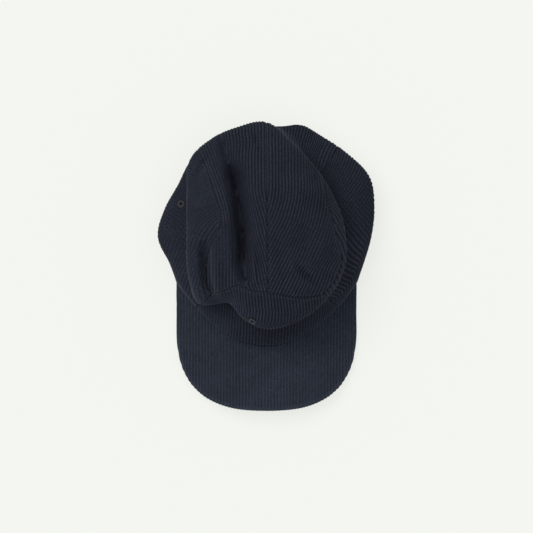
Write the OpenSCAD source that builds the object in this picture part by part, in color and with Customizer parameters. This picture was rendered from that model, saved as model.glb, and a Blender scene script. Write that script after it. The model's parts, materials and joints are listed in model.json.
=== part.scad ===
// Soft five-panel corduroy cap, resting on a table with its crown slumped over its sides.
// Millimetres. +Z up, the bill points along -Y, and the origin is on the table under the cap's middle.

/* [Head opening] */
// Half of the opening's width, at the bill's ends
rim_half_width = 91; // [89:0.5:93]
// How far the opening reaches behind the bill's ends
rim_reach_back = 130; // [128:0.5:132]
// How far the bill seam bows forward of the bill's ends
rim_bow_front = 64.5; // [62:0.5:67]

/* [Crown] */
// Height of the slumped crown's dome
crown_height = 84; // [80:1:88]
// Thickness of a corduroy panel
cloth = 1.8; // [1.2:0.1:2]
// Height of the strap opening, as a share of the cloth below the crown's fold
arch_share = 0.62; // [0.5:0.02:0.7]
// Outer diameter of a stitched eyelet
eyelet_size = 6.6; // [5.6:0.2:8]

/* [Bill] */
// Half of the bill's width
bill_half_width = 90.5; // [88:0.5:91]
// Distance from the bill's ends to its front edge
bill_reach = 130; // [126:0.5:134]
// Rise of the bill's middle above its side edges
bill_arch = 16; // [12:0.5:18]
// Thickness of the bill's plastic board
board = 1.6; // [1.2:0.1:2]

/* [Strap] */
// Height of the strap
strap_height = 16; // [14:0.5:17]
// Thickness of the strap
strap_cloth = 1.4; // [1:0.1:1.6]
// Height of the sweatband
band_height = 24; // [20:1:26]

/* [Hidden] */

navy = "#232a38";
twill = "#2b3040";
brass = "#b08d4a";
bill_ends_y = -14.5;      // where the bill's two ends meet the crown
pole = [0, 30];           // middle of the crown's top, in plan
fold_at = 0.55;           // share of the way from the pole to the rim where the top folds over
join_gap = 0.6;           // room between the bill and the crown, so that the bill can tilt
fine = 96;                // facets of the true cylinders

// ---- The slumped crown, as rings of [radius from the pole, height], every 30 degrees from +X.
// From the rim the cloth bellies out, tucks in, and folds over at the edge of the top.

belly_ring = [[104, 22], [118.5, 22], [114.5, 19], [111, 15], [107, 15], [103, 19],
              [108, 21], [98.5, 22], [100, 26], [106, 31], [100, 26], [99, 22]];
tuck_ring  = [[71, 42], [71, 38], [85, 33], [111, 22], [108, 22], [85, 32],
              [72, 41], [80, 42], [76, 46], [84, 47], [81, 46], [77, 42]];
fold_ring  = [[78.5, 57], [76.5, 52], [87, 45], [113.5, 36], [111.3, 37], [89, 48],
              [78.5, 57], [88, 57], [79, 62], [91.5, 63], [87, 62], [84, 60]];

// Valleys in the crown's top: [x0, y0, x1, y1, half width on the left, half width on the right, depth]
valleys = [
    [-36, 125, -23, -16, 7, 10, 26],   // the deep valley left of the centre seam
    [-63, 24, -57, -26, 8, 5, 12],     // pocket in the front left lobe
    [-10, 38, -9, -26, 6, 8, 6],       // slope beside the centre seam
    [40, 74, 42, 0, 16, 14, 6],        // hollow of the right back panel
    [28, 0, 50, -22, 4, 4, 4],         // crease near the front right corner
    [-14, 134, -5, 110, 4, 4, 4],      // notch at the back fold
];

function lerp(a, b, t) = a + (b - a) * t;
function sum(list, i = 0) = i >= len(list) ? 0 : list[i] + sum(list, i + 1);
function steps(n) = [for (i = [0 : n]) i / n];
function polar(angle, rho) = rho * [cos(angle), sin(angle)];

// Catmull-Rom curve from b to c
function bend(a, b, c, d, t) =
    0.5 * (2 * b + (c - a) * t + (2 * a - 5 * b + 4 * c - d) * t * t + (3 * b - a - 3 * c + d) * t * t * t);

// A closed ring of stations, read at any angle
function around(ring, angle) =
    let (n = len(ring), f = (angle + 720) / 360 * n, i = floor(f))
    bend(ring[(i - 1) % n], ring[i % n], ring[(i + 1) % n], ring[(i + 2) % n], f - i);

// An open curve through its points, t from 0 to 1
function along(points, t) =
    let (last = len(points) - 1, f = min(1, max(0, t)) * last, i = min(floor(f), last - 1),
         a = i == 0 ? 2 * points[0] - points[1] : points[i - 1],
         d = i + 2 > last ? 2 * points[last] - points[last - 1] : points[i + 2])
    bend(a, points[i], points[i + 1], d, f - i);

// The rim: half an ellipse behind the bill's ends, and the bill seam's parabola in front of them.
// Both are read as [radius from the pole, height].
function front_rim_angle() = atan2(pole[1] - bill_ends_y, rim_half_width);
function rim(angle) =
    let (turned = (angle + 720) % 360, edge = front_rim_angle())
    turned > 180 + edge && turned < 360 - edge ? rim_front(turned) : rim_back(turned);

function rim_front(angle) =
    let (a = rim_bow_front * pow(cos(angle) / rim_half_width, 2), reach = pole[1] - bill_ends_y + rim_bow_front,
         r = 2 * reach / (-sin(angle) + sqrt(pow(sin(angle), 2) + 4 * a * reach)))
    [r, bill_arch * max(0, 1 - pow(r * cos(angle) / rim_half_width, 2))];

function rim_back(angle) =
    let (a = pow(cos(angle) / rim_half_width, 2) + pow(sin(angle) / rim_reach_back, 2),
         off = pole[1] - bill_ends_y, b = 2 * off * sin(angle) / pow(rim_reach_back, 2),
         c = pow(off / rim_reach_back, 2) - 1)
    [(-b + sqrt(b * b - 4 * a * c)) / (2 * a), 0];

function valley_at(v, x, y) =
    let (run = [v[2] - v[0], v[3] - v[1]], to = [x - v[0], y - v[1]],
         share = min(1, max(0, (run * to) / (run * run))),
         off = (run[0] * to[1] - run[1] * to[0]) / norm(run))
    v[6] * (1 - pow(2 * share - 1, 4)) * exp(-pow(off / (off > 0 ? v[5] : v[4]), 2));

// Height of the crown's top above a plan point: a dome that falls away to the back, less its valleys
function top_height(x, y) =
    crown_height - 0.0014 * pow(y + 22, 2) - 0.0018 * x * x - sum([for (v = valleys) valley_at(v, x, y)]);

// The crown's outer surface. disc is a point of the unit disc: its middle is the pole and its edge the rim.
function crown(disc) =
    let (angle = atan2(disc[1], disc[0]), rho = norm(disc), fold = around(fold_ring, angle))
    rho <= fold_at ? crown_top(angle, rho / fold_at, fold) : crown_skirt(angle, rho, fold);

function crown_top(angle, share, fold) =
    let (x = pole[0] + fold[0] * share * cos(angle), y = pole[1] + fold[0] * share * sin(angle))
    [x, y, fold[1] + (top_height(x, y) - fold[1]) * sqrt(max(0, 1 - pow(share, 5)))];

function crown_skirt(angle, rho, fold) =
    let (tuck = around(tuck_ring, angle), belly = around(belly_ring, angle), edge = rim(angle),
         f = (rho - fold_at) / (1 - fold_at) * 3,
         rz = f < 1 ? bend([tuck[0], 2 * fold[1] - tuck[1]], fold, tuck, belly, f)
            : f < 2 ? bend(fold, tuck, belly, edge, f - 1)
            : bend(tuck, belly, edge, 2 * edge - belly, min(1, f - 2)))
    [pole[0] + rz[0] * cos(angle), pole[1] + rz[0] * sin(angle), rz[1]];

// Outward normal of the crown's surface
function crown_normal(disc) =
    let (e = 0.006, c = disc * (norm(disc) > 0.985 ? 0.985 / norm(disc) : 1),
         n = cross(crown(c + [e, 0]) - crown(c - [e, 0]), crown(c + [0, e]) - crown(c - [0, e])))
    n / norm(n);

function under_crown(disc, depth) = crown(disc) - depth * crown_normal(disc);

// ---- Seam lines, drawn on the unit disc as [angle, rho]

corner_left = [227, 0.45];         // the front panel, a side panel and a back panel meet
corner_right = [315, 0.51];
tee = [271.5, 0.335];              // the centre seam meets the top seam
front_left = 225;                  // rim angles of the panels' seams
front_right = 315;
back_left = 126;
back_right = 56;

top_seam = [corner_left, tee, corner_right];
left_seam = [corner_left, [210, 0.425], [190, 0.385], [172, 0.32], [154, 0.305], [140, 0.355], [132, 0.44], [129, 0.55]];
right_seam = [corner_right, [338, 0.525], [368, 0.48], [392, 0.5], [404, 0.55]];
left_drop = [left_seam[7], [back_left, 1]];
right_drop = [right_seam[4], [360 + back_right, 1]];
arch_half_angle = 27;              // half of the strap opening, seen from the pole

// How far in from the rim the back panels are cut away for the strap opening
function arch_cut(angle) =
    let (share = abs(angle - 90) / arch_half_angle)
    share >= 1 ? 0 : (1 - fold_at) * arch_share * (1 - share * share);

function on_disc(p) = polar(p[0], p[1]);

// ---- Shells made from grids of disc points

// A closed sheet between two equal grids of points, outer[i][j] and inner[i][j]
module sheet(outer, inner) {
    rows = len(outer);
    cols = len(outer[0]);
    points = [for (g = [outer, inner]) for (row = g) each row];
    function at(g, i, j) = (g * rows + i) * cols + j;
    function quad(a, b, c, d) = [[a, b, c], [a, c, d]];
    faces = [
        for (i = [0 : rows - 2], j = [0 : cols - 2]) each concat(
            quad(at(0, i, j), at(0, i + 1, j), at(0, i + 1, j + 1), at(0, i, j + 1)),
            quad(at(1, i, j), at(1, i, j + 1), at(1, i + 1, j + 1), at(1, i + 1, j))),
        for (i = [0 : rows - 2]) each concat(
            quad(at(0, i + 1, 0), at(0, i, 0), at(1, i, 0), at(1, i + 1, 0)),
            quad(at(0, i, cols - 1), at(0, i + 1, cols - 1), at(1, i + 1, cols - 1), at(1, i, cols - 1))),
        for (j = [0 : cols - 2]) each concat(
            quad(at(0, 0, j), at(0, 0, j + 1), at(1, 0, j + 1), at(1, 0, j)),
            quad(at(0, rows - 1, j + 1), at(0, rows - 1, j), at(1, rows - 1, j), at(1, rows - 1, j + 1))),
    ];
    polyhedron(points, faces, convexity = 8);
}

// A layer of the crown between two depths under its outer surface
module crown_layer(grid, from = 0, to = cloth) {
    sheet([for (row = grid) [for (d = row) under_crown(d, from)]],
          [for (row = grid) [for (d = row) under_crown(d, to)]]);
}

// From a rim angle up to a point above the fold, with a row of the grid lying on the fold itself
function rise(low_angle, high, t, knee = 0.75) =
    let (turn = min(0.93, (1 - fold_at) / (1 - high[1])),
         share = t < knee ? t / knee * turn : turn + (t - knee) / (1 - knee) * (1 - turn))
    polar(lerp(low_angle, high[0], share), lerp(1, high[1], share));

front_grid = [for (s = steps(20)) let (high = along(top_seam, s))
    [for (t = steps(20)) rise(lerp(front_left, front_right, s), high, t, 0.7)]];
left_grid = [for (s = steps(28)) let (high = along(left_seam, 1 - s))
    [for (t = steps(16)) rise(lerp(back_left, front_left, s), high, t)]];
right_grid = [for (s = steps(28)) let (high = along(right_seam, s))
    [for (t = steps(16)) rise(lerp(front_right, 360 + back_right, s), high, t)]];

// A back panel: its upper half spans from the top seam to the fold, and its lower half from the fold to the hem
back_columns = 20;
function upper_row(seam, turn, u) =
    [for (s = steps(back_columns))
        let (side = on_disc(along(seam, u)), middle = lerp(on_disc(tee), [0, fold_at], u), chord = lerp(side, middle, s),
             start = on_disc(seam[0]), finish = seam[len(seam) - 1],
             top = on_disc(along(top_seam, s * 0.5 * turn + (turn > 0 ? 0 : 1))) - lerp(start, on_disc(tee), s),
             low = polar(lerp(finish[0], turn > 0 ? 90 : 450, s), fold_at) - lerp(on_disc(finish), [0, fold_at], s))
        chord + (1 - u) * top + u * low];

function lower_row(drop, turn, v) =
    [for (s = steps(back_columns))
        let (side = along(drop, v), middle = turn > 0 ? 90 : 450, angle = lerp(side[0], middle, s),
             hem = lerp(drop[1][0], middle, s))
        polar(angle, lerp(lerp(drop[0][1], 1, v), 1 - arch_cut(hem % 360), v * v)
            + (side[1] - lerp(lerp(drop[0][1], 1, v), 1, v * v)) * (1 - s))];

left_back_grid = concat([for (i = [0 : 19]) upper_row(left_seam, 1, i / 20)],
                        [for (i = [0 : 12]) lower_row(left_drop, 1, i / 12)]);
right_back_grid = concat([for (i = [12 : -1 : 0]) lower_row(right_drop, -1, i / 12)],
                         [for (i = [19 : -1 : 0]) upper_row(right_seam, -1, i / 20)]);

module front_panel() color(navy) difference() {
    crown_layer(front_grid);
    eyelet_bore(260.6, 0.53);
    eyelet_bore(280, 0.66);
}
module side_panel_left() color(navy) difference() { crown_layer(left_grid); eyelet_bore(158.7, 0.76); }
module side_panel_right() color(navy) difference() { crown_layer(right_grid); eyelet_bore(12, 0.64); }
module back_panel_left() color(navy) crown_layer(left_back_grid);
module back_panel_right() color(navy) crown_layer(right_back_grid);

// ---- Tapes inside the seams

tape_from = cloth + 0.7;
tape_to = cloth + 1.3;

// A tape of a given half width along a curve of disc points
function tape_grid(curve, n, half = 0.04) =
    [for (i = [0 : n])
        let (p = along(curve, i / n), q = along(curve, i / n + 0.01) - along(curve, i / n - 0.01),
             side = [-q[1], q[0]] / norm(q) * half)
        [p + side, p, p - side]];

module tape(curve, n) color(twill) crown_layer(tape_grid(curve, n), tape_from, tape_to);
module seam_tape_centre() tape([[0, -0.28], [0, 0], [0, 0.25], [0, 0.48]], 24);
module seam_tape_top() tape([polar(231, 0.43), polar(250, 0.36), polar(271.5, 0.335), polar(296, 0.385), polar(312, 0.475)], 16);
module seam_tape_left() tape([polar(213, 0.43), polar(190, 0.385), polar(172, 0.32), polar(154, 0.305), polar(140, 0.355), polar(133, 0.425)], 24);
module seam_tape_right() tape([polar(-38, 0.48), polar(-22, 0.49), polar(8, 0.47), polar(28, 0.475), polar(38, 0.49)], 20);

// ---- Eyelets worked in thread

module at_surface(angle, rho, depth = 0) {
    p = under_crown(polar(angle, rho), depth);
    n = crown_normal(polar(angle, rho));
    translate(p) rotate([0, acos(n[2]), atan2(n[1], n[0])]) children();
}

eyelet_hole = eyelet_size * 0.4;
module eyelet_bore(angle, rho) at_surface(angle, rho) cylinder(d = eyelet_size - 1.6, h = 14, center = true, $fn = 24);
module eyelet(angle, rho) color(navy) at_surface(angle, rho)
    rotate_extrude($fn = 32) translate([eyelet_hole / 2, -cloth]) square([(eyelet_size - 1.8 - eyelet_hole) / 2, cloth + 0.5]);

module eyelet_front_left() eyelet(260.6, 0.53);
module eyelet_front_right() eyelet(280, 0.66);
module eyelet_side_left() eyelet(158.7, 0.76);
module eyelet_side_right() eyelet(12, 0.64);

// ---- Sweatband, standing inside the rim and open at the strap

function rim_point(angle, depth) = pole + (rim(angle)[0] - depth) * [cos(angle), sin(angle)];

// Outline of a band that follows the rim between two angles and two depths inside it
module rim_strip(from, to, near, far, n) polygon(concat(
    [for (i = [0 : n]) rim_point(lerp(from, to, i / n), near)],
    [for (i = [n : -1 : 0]) rim_point(lerp(from, to, i / n), far)]));

// The arch of the bill, as the space under it
module bill_arch_space() {
    r = (pow(rim_half_width, 2) + pow(bill_arch, 2)) / (2 * bill_arch);
    translate([0, -60, bill_arch - r]) rotate([90, 0, 0]) cylinder(r = r, h = 140, center = true, $fn = 360);
}

module sweatband() color(twill) difference() {
    linear_extrude(band_height) rim_strip(119, 421, 5, 6.2, 90);
    bill_arch_space();
}

module size_label() color("#d8d5cb") translate([0, 0, 6]) linear_extrude(13) rim_strip(124, 137, 6.5, 7, 6);

// Binding of the strap opening's edge
module arch_binding() color(twill) crown_layer(
    [for (i = [0 : 20]) let (angle = lerp(90 + arch_half_angle - 1.5, 90 - arch_half_angle + 1.5, i / 20))
        [polar(angle, 1 - arch_cut(angle) - 0.07), polar(angle, 1 - arch_cut(angle))]], tape_from, tape_to);

// ---- Bill: a board bent about the fore-and-aft axis, between two covers

// Plan of the bill: x from its side to its side, v from the seam to the front edge
function seam_y(x) = bill_ends_y - rim_bow_front * (1 - pow(x / rim_half_width, 2));
function edge_y(x, inset) =
    let (w = bill_half_width - inset, straight = 45.5, d = bill_reach - straight - inset)
    bill_ends_y - straight - d * pow(max(0, 1 - pow(abs(x) / w, 2.6)), 1 / 2.6);
function bill_z(x) = bill_arch * (1 - pow(x / rim_half_width, 2)) + 2.8;

function bill_point(u, v, inset, start, lift) =
    let (x = (bill_half_width - inset) * sin(90 * u), near = seam_y(x) - start)
    [x, lerp(near, min(edge_y(x, inset), near - 4), v), bill_z(x) + lift];

module bill_layer(inset, start, low, high, nx = 26, ny = 8) {
    us = [for (i = [0 : nx]) -1 + 2 * i / nx];
    sheet([for (v = steps(ny)) [for (u = us) bill_point(u, v, inset, start, high)]],
          [for (v = steps(ny)) [for (u = us) bill_point(u, v, inset, start, low)]]);
}

bill_cloth = 1.3;
module bill_top_cover() color(navy) bill_layer(0, join_gap, board / 2 + 0.1, board / 2 + 0.1 + bill_cloth, 32, 10);
module bill_board() color("#e8e4d8") bill_layer(3, 2.5, -board / 2, board / 2);
module bill_under_cover() color(navy) bill_layer(0, join_gap, -board / 2 - 0.1 - bill_cloth, -board / 2 - 0.1);

// The covers' edges, turned in around the board
function edge_line(inset, lift) = [for (i = [0 : 40]) bill_point(-1 + 2 * i / 40, 1, inset, join_gap, lift)];
module bill_edge_fold() color(navy)
    sheet([for (inset = [2.7, 0.3]) edge_line(inset, board / 2 - 0.05)],
          [for (inset = [2.7, 0.3]) edge_line(inset, 0.05 - board / 2)]);

// ---- Strap and buckle across the opening at the back, laid on a circle that matches the rim there

strap_radius = 64;
strap_centre = [0, bill_ends_y + rim_reach_back - strap_radius];
strap_low = 3;
long_out = strap_radius - 2.3;     // outside of the long strap

module arc_band(inner, outer, from, to, low, height) translate([strap_centre[0], strap_centre[1], low])
    rotate([0, 0, from]) rotate_extrude(angle = to - from, $fn = 180) translate([inner, 0]) square([outer - inner, height]);

module strap_long() color(navy) arc_band(long_out - strap_cloth, long_out, 54, 132, strap_low, strap_height);

frame_turn = 66.5;                 // where the buckle sits on the strap's circle
frame_bar = 1.8;
frame_half = 7.6;                  // from the buckle's middle to its upright bars
frame_out = strap_radius - 0.8;
short_out = strap_radius - 0.3;
pin_x = -3.2;
pin_y = 2.9;
strap_mid = strap_low + strap_height / 2;

// Buckle coordinates: x along the strap to the cap's right, y outward, z up
module at_buckle() translate([strap_centre[0], strap_centre[1], 0]) rotate([0, 0, frame_turn - 90])
    translate([0, frame_out, 0]) children();

module upright(x, y, r, h) translate([x, y, strap_mid]) cylinder(r = r, h = h, center = true, $fn = fine / 2);

module strap_short() color(navy) difference() {
    union() {
        arc_band(short_out - strap_cloth, short_out, 44, 58.4, strap_low + 1, strap_height - 2);
        at_buckle() upright(frame_half, 0, frame_bar / 2 + 0.8, strap_height - 2);
    }
    at_buckle() upright(frame_half, 0, frame_bar / 2 + 0.1, strap_height);
}

module buckle_frame() color(brass) at_buckle() {
    high = strap_height / 2 + 0.8 + frame_bar / 2;
    difference() {
        union() {
            for (x = [-frame_half, frame_half]) upright(x, 0, frame_bar / 2, 2 * high);
            for (z = [-high, high]) translate([0, 0, strap_mid + z]) rotate([0, 90, 0])
                cylinder(d = frame_bar, h = 2 * frame_half, center = true, $fn = fine / 2);
            for (x = [-frame_half, frame_half], z = [-high, high]) translate([x, 0, strap_mid + z])
                sphere(d = frame_bar, $fn = fine / 2);
            for (z = [-high, high]) translate([pin_x - 1.6, 0, strap_mid + z - frame_bar / 2]) cube([3.2, pin_y + 1.5, frame_bar]);
        }
        upright(pin_x, pin_y, 0.8, 4 * high);
    }
}

module buckle_pin() color(brass) at_buckle() upright(pin_x, pin_y, 0.8, strap_height + 5.2);

module buckle_lever() color(brass) at_buckle() difference() {
    union() {
        upright(pin_x, pin_y, 1.5, strap_height - 0.4);
        translate([pin_x, pin_y, strap_mid - strap_height / 2 + 1]) cube([11.4, 1.2, strap_height - 2]);
        translate([pin_x + 11.4, pin_y + 0.6, strap_mid]) cylinder(d = 1.2, h = strap_height - 2, center = true, $fn = fine / 2);
    }
    upright(pin_x, pin_y, 0.85, strap_height + 2);
}

module strap_keeper() color(navy) difference() {
    arc_band(long_out - strap_cloth - 1.3, long_out + 1.3, 86, 92, strap_low - 1.4, strap_height + 2.8);
    arc_band(long_out - strap_cloth - 0.35, long_out + 0.35, 84, 94, strap_low - 0.4, strap_height + 0.8);
}

front_panel();
side_panel_left();
side_panel_right();
back_panel_left();
back_panel_right();
seam_tape_centre();
seam_tape_left();
seam_tape_right();
seam_tape_top();
eyelet_front_left();
eyelet_front_right();
eyelet_side_left();
eyelet_side_right();
sweatband();
size_label();
arch_binding();
bill_top_cover();
bill_board();
bill_edge_fold();
bill_under_cover();
strap_long();
strap_short();
strap_keeper();
buckle_frame();
buckle_pin();
buckle_lever();
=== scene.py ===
# %% [markdown]
# # A soft corduroy cap
# The object is a five-panel cap that lies on a table with its crown slumped. Its cloth is a ribbed pile, so nearly
# all of its look comes from three things: the big folds of the crown, the ribs that run over them, and the way a
# pile cloth catches light at its rims. This script builds the folds as one smooth surface that all five panels
# share, cuts the panels out of it along their seams, and raises real ribs on each one.

# %% Load the frame
import json
import math
import bpy
import numpy as np
from mathutils import Matrix, Vector

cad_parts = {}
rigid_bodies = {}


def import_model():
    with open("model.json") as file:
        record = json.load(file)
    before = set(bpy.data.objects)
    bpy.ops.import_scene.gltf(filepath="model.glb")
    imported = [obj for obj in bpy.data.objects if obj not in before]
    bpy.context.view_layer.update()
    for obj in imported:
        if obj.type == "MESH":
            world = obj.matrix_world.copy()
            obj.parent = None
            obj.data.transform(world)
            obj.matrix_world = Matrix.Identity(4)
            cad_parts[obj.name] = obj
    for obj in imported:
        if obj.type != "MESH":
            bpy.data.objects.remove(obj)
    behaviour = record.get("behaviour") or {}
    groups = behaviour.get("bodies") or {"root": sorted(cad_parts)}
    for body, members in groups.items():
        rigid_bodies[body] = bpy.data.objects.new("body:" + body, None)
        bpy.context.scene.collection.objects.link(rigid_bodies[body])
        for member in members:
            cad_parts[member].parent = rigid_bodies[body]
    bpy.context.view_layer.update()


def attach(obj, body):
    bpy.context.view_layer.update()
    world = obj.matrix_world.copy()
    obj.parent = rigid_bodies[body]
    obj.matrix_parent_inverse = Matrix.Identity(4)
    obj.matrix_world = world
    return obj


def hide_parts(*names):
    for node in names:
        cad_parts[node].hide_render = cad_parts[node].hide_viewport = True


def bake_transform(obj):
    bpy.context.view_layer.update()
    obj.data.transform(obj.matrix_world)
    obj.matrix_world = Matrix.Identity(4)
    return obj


for leftover in list(bpy.data.objects):
    bpy.data.objects.remove(leftover)
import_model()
MM = 0.001

# %% [markdown]
# ## The slumped crown
# Every point of the crown has an address on a unit disc: an angle around the crown's pole, and a share rho of the
# way down from the pole to the rim. The cloth's shape is then a few rings of (radius, height) that a smooth curve
# joins: the rim, the belly, the tuck, and the fold where the top turns over. A cloth simulation could find such a
# shape too, but it would not land on these particular folds, so the rings are given.

# %% The rings
POLE = np.array([0.0, 30.0])
FOLD = 0.55
BILL_ENDS_Y, RIM_HALF, RIM_BACK, RIM_BOW, BILL_ARCH = -14.5, 91.0, 130.0, 64.5, 16.0
# (radius, height) in mm, every 15 degrees from +X round by the back
BELLY = np.array([[104.5, 22], [111.5, 22], [119, 22], [116, 21], [114.5, 19], [117, 17], [113, 15], [108, 14],
                  [107, 15], [106.5, 17], [102.5, 19], [105.5, 20], [108.5, 21], [100, 21.5], [98.5, 22], [98.5, 24],
                  [100, 27], [104, 30], [106, 31], [104, 30], [100, 27], [98.5, 24], [99, 22], [100, 22]], float)
TUCK = np.array([[71, 42], [70, 40], [70, 38], [74, 35], [84, 32], [104, 25], [111, 22], [107, 22],
                 [107, 23], [101, 28], [85, 33], [74, 38], [72, 41], [75, 42], [80, 41], [88, 34],
                 [71, 44], [78.5, 46.5], [84, 47], [82, 47], [80, 46], [79, 45], [77, 42], [74, 42]], float)
TURN = np.array([[78, 57], [77, 55], [77, 52], [80.5, 49], [86.5, 45], [97, 40], [113.5, 36], [112.5, 36],
                 [111.5, 37], [107.5, 40], [91.5, 46], [82, 52], [79, 56], [82, 56], [88, 53], [94.5, 44],
                 [76.5, 55], [85.5, 61.5], [91.5, 63], [90, 63], [88, 62], [86, 61], [84, 60], [81.5, 58]], float)


def bend(a, b, c, d, t):
    """Catmull-Rom curve from b to c."""
    return 0.5 * (2 * b + (c - a) * t + (2 * a - 5 * b + 4 * c - d) * t**2 + (3 * b - a - 3 * c + d) * t**3)


def around(ring, angle):
    """A closed ring of stations, read at any angle in degrees."""
    f = np.mod(angle, 360) / 360 * len(ring)
    i = np.floor(f).astype(int)
    pick = [ring[(i + k) % len(ring)] for k in (-1, 0, 1, 2)]
    return bend(*pick, (f - i)[..., None])


def rim(angle):
    """The rim's radius and height: half an ellipse behind the bill's ends, a parabola in front of them."""
    c, s = np.cos(np.radians(angle)), np.sin(np.radians(angle))
    off, reach = POLE[1] - BILL_ENDS_Y, POLE[1] - BILL_ENDS_Y + RIM_BOW
    a = RIM_BOW * (c / RIM_HALF) ** 2
    front = 2 * reach / np.maximum(-s + np.sqrt(s**2 + 4 * a * reach), 1e-9)
    a2 = (c / RIM_HALF) ** 2 + (s / RIM_BACK) ** 2
    b2 = 2 * off * s / RIM_BACK**2
    back = (-b2 + np.sqrt(b2**2 - 4 * a2 * ((off / RIM_BACK) ** 2 - 1))) / (2 * a2)
    edge, turned = math.degrees(math.atan2(off, RIM_HALF)), np.mod(angle, 360)
    ahead = (turned > 180 + edge) & (turned < 360 - edge)
    r = np.where(ahead, front, back)
    z = np.where(ahead, BILL_ARCH * np.maximum(0, 1 - (r * c / RIM_HALF) ** 2), 0)
    return np.stack([r, z], -1)


print("rim at the front, side and back:", rim(np.array([270.0, 0.0, 90.0])).round(1).tolist())

# %% [markdown]
# ## Folds
# A fold in soft cloth is rarely symmetric: one wall hangs steep and the other slopes away. Each fold here is a
# curved line across the crown's top, with its own width on each side and its own depth. Shallow ones are only
# creases; the deep one is where the top has sunk between two ridges.

# %% The folds of the crown's top
# Each fold: points of its line, widths on its left and right, depth, how blunt its ends are, how flat its bottom is
FOLDS = [
    ([(-35, 104), (-31, 80), (-27.5, 54), (-25.5, 30), (-24.5, 6), (-20, -17)], 6.8, 9.5, 28, 3, 2.6),
    ([(-48, 130), (-40, 110), (-33, 88), (-29, 70)], 8, 9, 10, 2),
    ([(-24, 100), (-16, 55), (-13, 22)], 9, 9, 4, 2),
    ([(-13, 30), (-9, 4), (-7, -24)], 3.6, 7, 7, 2),
    ([(-60.5, 27), (-59, 7), (-57, -14), (-51, -33)], 8, 4, 16, 3, 2.2),
    ([(46, 72), (42, 40), (41, 2)], 13, 12, 5.5, 2),
    ([(20, 122), (17, 100), (16, 76)], 6, 7, 3, 2),
    ([(26, 4), (36, -8), (52, -20)], 3, 4.5, 5.5, 2),
    ([(-25, -2), (-18, -15), (-8, -26)], 4.5, 6, 7, 2),
    ([(58, -2), (64, 8), (66, 26)], 5, 5, 3, 2),
    ([(-15, 136), (-11, 124), (-5, 108)], 2.6, 3.6, 4.5, 2),
    ([(-52, 118), (-66, 96), (-71, 84)], 3.2, 3.6, 4, 2),
    ([(-46, 16), (-43, -6), (-37, -22)], 4, 6, 3, 2),
    ([(12, -30), (30, -33), (50, -27)], 3.5, 4.5, 2.4, 2),
    ([(-60, -27), (-49, -35), (-36, -40), (-22, -40)], 5.5, 4.5, 9, 2),
]
DENTS = [(28, 134, 9, 5, 5), (43, 112, 3, 9, 3), (24, -56, 10, 5, 2.5), (-24, -44, 9, 6, 3)]


def along(points, t):
    """An open curve through its points, t from 0 to 1."""
    points = np.asarray(points, float)
    ends = np.vstack([2 * points[0] - points[1], points, 2 * points[-1] - points[-2]])
    f = np.clip(t, 0, 1) * (len(points) - 1)
    i = np.minimum(np.floor(f).astype(int), len(points) - 2)
    return bend(ends[i], ends[i + 1], ends[i + 2], ends[i + 3], (f - i)[..., None])


def fold_depth(x, y, fold):
    """How deep one fold is under each plan point."""
    points, left, right, depth, blunt, flat = (*fold, 2)[:6]
    line, reach = along(points, np.linspace(0, 1, 13)), 2.6 * max(left, right)
    out = np.zeros_like(x)
    by = ((x > line[:, 0].min() - reach) & (x < line[:, 0].max() + reach)
          & (y > line[:, 1].min() - reach) & (y < line[:, 1].max() + reach))
    start, run = line[:-1], np.diff(line, axis=0)
    to = np.stack([x[by], y[by]], -1)[:, None, :] - start
    share = np.clip((to * run).sum(-1) / (run**2).sum(-1), 0, 1)
    gap = np.linalg.norm(to - share[..., None] * run, axis=-1)
    near = gap.argmin(-1)
    row = np.arange(len(near))
    side = run[near, 0] * to[row, near, 1] - run[near, 1] * to[row, near, 0]
    u = (near + share[row, near]) / len(run)
    wide = np.where(side > 0, right, left)
    out[by] = depth * (1 - np.abs(2 * u - 1) ** blunt) * np.exp(-(gap[row, near] / wide) ** flat)
    return out


def top_height(x, y):
    x, y = np.atleast_1d(x), np.atleast_1d(y)
    z = 84 - 0.0014 * (y + 22) ** 2 - 0.0018 * x**2
    for fold in FOLDS:
        z = z - fold_depth(x, y, fold)
    for dx, dy, wx, wy, deep in DENTS:
        z = z - deep * np.exp(-((x - dx) / wx) ** 2 - ((y - dy) / wy) ** 2)
    return z + 0.7 * np.sin(x / 9 + 1) * np.sin(y / 11) + 0.4 * np.sin(x / 5 + y / 7)


def crown(disc):
    """The crown's outer surface in mm, from points of the unit disc."""
    angle, rho = np.degrees(np.arctan2(disc[..., 1], disc[..., 0])), np.hypot(disc[..., 0], disc[..., 1])
    c, s = np.cos(np.radians(angle)), np.sin(np.radians(angle))
    turn, tuck, belly, edge = around(TURN, angle), around(TUCK, angle), around(BELLY, angle), rim(angle)
    share = np.minimum(rho / FOLD, 1)
    x, y = POLE[0] + turn[..., 0] * share * c, POLE[1] + turn[..., 0] * share * s
    top = turn[..., 1] + (top_height(x, y) - turn[..., 1]) * np.sqrt(np.maximum(0, 1 - share**5))
    f = np.clip((rho - FOLD) / (1 - FOLD) * 3, 0, 3)[..., None]
    hang = np.stack([tuck[..., 0], 2 * turn[..., 1] - tuck[..., 1]], -1)
    rz = np.where(f < 1, bend(hang, turn, tuck, belly, f),
                  np.where(f < 2, bend(turn, tuck, belly, edge, f - 1),
                           bend(tuck, belly, edge, 2 * edge - belly, f - 2)))
    skirt = rho > FOLD
    return np.stack([np.where(skirt, POLE[0] + rz[..., 0] * c, x),
                     np.where(skirt, POLE[1] + rz[..., 0] * s, y),
                     np.where(skirt, rz[..., 1], top)], -1)


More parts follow.
